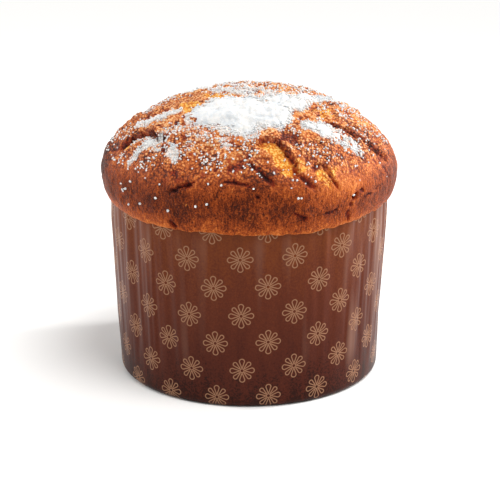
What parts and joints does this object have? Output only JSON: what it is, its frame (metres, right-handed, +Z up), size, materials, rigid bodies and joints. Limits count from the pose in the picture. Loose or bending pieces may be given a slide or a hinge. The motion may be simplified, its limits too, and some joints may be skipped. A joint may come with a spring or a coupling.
{
  "type": "panettone",
  "caption": "Tall domed sweet loaf baked in a round printed paper mould, its top risen over the rim and dusted with coarse sugar.",
  "frame": {"origin": "middle of the mould's underside, on the surface it stands on", "axes": "+Z up along the axis of the round mould, -Y towards the front, +X to the right seen from the front; the paper's glued lap is at the back, +Y"},
  "size_m": [0.1444, 0.1444, 0.1414],
  "materials": {
    "crust": "baked golden to dark brown crust, matte with a faint sheen",
    "mould_paper": "greaseproof baking paper, red brown with a printed flower pattern, satin",
    "sugar": "coarse white sugar, matte"
  },
  "bodies": {
    "root": {"loaf": "crust", "mould_wall": "mould_paper", "mould_base": "mould_paper", "sugar_crown": "sugar", "sugar_right": "sugar", "sugar_left": "sugar", "sugar_left_brow": "sugar", "sugar_back": "sugar"}
  },
  "joints": []
}
